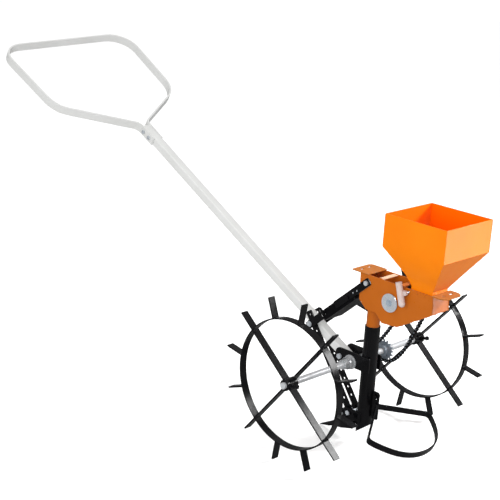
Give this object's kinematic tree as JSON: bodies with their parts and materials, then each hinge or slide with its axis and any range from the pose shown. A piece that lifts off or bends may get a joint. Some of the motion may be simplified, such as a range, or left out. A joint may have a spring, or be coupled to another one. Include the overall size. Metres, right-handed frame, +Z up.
{
  "type": "single-row seed planter",
  "caption": "Hand-drawn single-row seed planter: lugged ground wheels drive a chain and seed roller under a square hopper, with a seed tube, furrow opener, covering loop and long handle.",
  "frame": {"origin": "on the top face of the seed body's front ear, 30 mm behind the wheel axle's centre and 305.3 mm above it", "axes": "+X horizontal, away from the towing handle, towards the hopper and the covering loop; +Y along the axle, towards the chain side; +Z up"},
  "size_m": [1.953, 0.664, 1.0904],
  "materials": {
    "black_paint": "satin black paint",
    "orange_paint": "satin bright orange paint",
    "body_orange_paint": "satin dark orange paint",
    "bright_steel": "bright",
    "zinc_plate": "bright zinc plate",
    "handle_grey_paint": "satin light grey",
    "lever_plastic": "matte off-white",
    "chain_steel": "dark oiled steel",
    "roller_plastic": "matte off-white",
    "brush_bristle": "black bristle"
  },
  "bodies": {
    "frame": {"seed_tube": "black_paint", "seed_spout": "body_orange_paint", "near_frame_plate": "black_paint", "far_frame_plate": "black_paint", "near_bearing_housing": "bright_steel", "far_bearing_housing": "bright_steel", "body_side_near": "body_orange_paint", "body_side_far": "body_orange_paint", "body_wrap": "body_orange_paint", "front_ear": "body_orange_paint", "rear_ear": "body_orange_paint", "cross_tie": "bright_steel", "hopper": "orange_paint", "near_shaft_bush": "zinc_plate", "far_shaft_bush": "zinc_plate", "seed_floor": "body_orange_paint", "cutoff_brush": "brush_bristle", "brush_holder": "bright_steel", "drive_chain": "chain_steel", "furrow_share": "black_paint", "share_bolt": "zinc_plate", "handle_pivot_bolt": "zinc_plate", "strut_body_bolt": "zinc_plate", "hanger_bolt_upper": "black_paint", "hanger_bolt_lower": "black_paint"},
    "ground_wheels": {"axle": "bright_steel", "near_wheel_rim": "black_paint", "near_wheel_hub": "black_paint", "far_wheel_rim": "black_paint", "far_wheel_hub": "black_paint", "near_hub_bolt": "black_paint", "far_hub_bolt": "black_paint", "near_bearing_ring": "bright_steel", "far_bearing_ring": "bright_steel", "drive_sprocket": "bright_steel"},
    "metering": {"metering_shaft": "bright_steel", "seed_roller": "roller_plastic", "driven_sprocket": "bright_steel", "shaft_disc": "zinc_plate", "shaft_disc_bolt": "bright_steel"},
    "gate": {"gate_lever": "lever_plastic", "gate_flap": "bright_steel"},
    "handle": {"handle_stem": "handle_grey_paint", "handle_loop": "handle_grey_paint", "handle_bolt_upper": "zinc_plate", "handle_bolt_lower": "zinc_plate", "strut_handle_bolt": "zinc_plate"},
    "strut_outer": {"strut_strap_near": "black_paint", "strut_strap_far": "black_paint", "strut_channel": "black_paint", "strut_cross_bolt": "bright_steel", "strut_lock_pin": "black_paint"},
    "strut_inner": {"strut_bar_near": "black_paint", "strut_bar_far": "black_paint"},
    "brace_foot": {"brace_foot_bolt": "zinc_plate"},
    "braces": {"brace_near": "black_paint", "brace_far": "black_paint"},
    "cover_gear": {"loop_hanger": "black_paint", "covering_loop": "black_paint"}
  },
  "joints": [
    {"name": "axle_spin", "type": "hinge", "parent": "frame", "child": "ground_wheels", "pos_m": [-0.03, 0, -0.3053], "axis": [0, 1, 0], "continuous": true},
    {"name": "metering_spin", "type": "hinge", "parent": "frame", "child": "metering", "pos_m": [0.11, 0, -0.0653], "axis": [0, 1, 0], "continuous": true},
    {"name": "gate_lever_turn", "type": "hinge", "parent": "frame", "child": "gate", "pos_m": [0.171, 0, -0.0153], "axis": [0, 1, 0], "range_deg": [-25, 30]},
    {"name": "handle_tilt", "type": "hinge", "parent": "frame", "child": "handle", "pos_m": [-0.075, 0, -0.3003], "axis": [0, 1, 0], "range_deg": [-8, 8], "stiffness_Nm_per_rad": 20000},
    {"name": "strut_swing", "type": "hinge", "parent": "frame", "child": "strut_outer", "pos_m": [0.0171, 0, -0.0295], "axis": [0, 1, 0], "range_deg": [-1.4, 1.4]},
    {"name": "strut_extend", "type": "slide", "parent": "strut_outer", "child": "strut_inner", "axis": [-0.74, 0, -0.6726], "range_m": [-0.0195, 0.0195]},
    {"name": "brace_swing", "type": "hinge", "parent": "frame", "child": "brace_foot", "pos_m": [-0.0244, 0, -0.4768], "axis": [0, 1, 0], "range_deg": [-3.6, 3.6]},
    {"name": "brace_extend", "type": "slide", "parent": "brace_foot", "child": "braces", "axis": [-0.5944, 0, 0.8042], "range_m": [-0.0092, 0.0092]},
    {"name": "cover_loop_height", "type": "slide", "parent": "frame", "child": "cover_gear", "axis": [0, 0, 1], "range_m": [-0.0065, 0.006]}
  ],
  "couplings": [
    {"joint": "metering_spin", "follows": "axle_spin", "ratio": 0.66667},
    {"joint": "strut_swing", "follows": "handle_tilt", "ratio": 0.16678},
    {"joint": "strut_extend", "follows": "handle_tilt", "m_per_rad": -0.13829},
    {"joint": "brace_swing", "follows": "handle_tilt", "ratio": 0.43531},
    {"joint": "brace_extend", "follows": "handle_tilt", "m_per_rad": 0.064188}
  ]
}
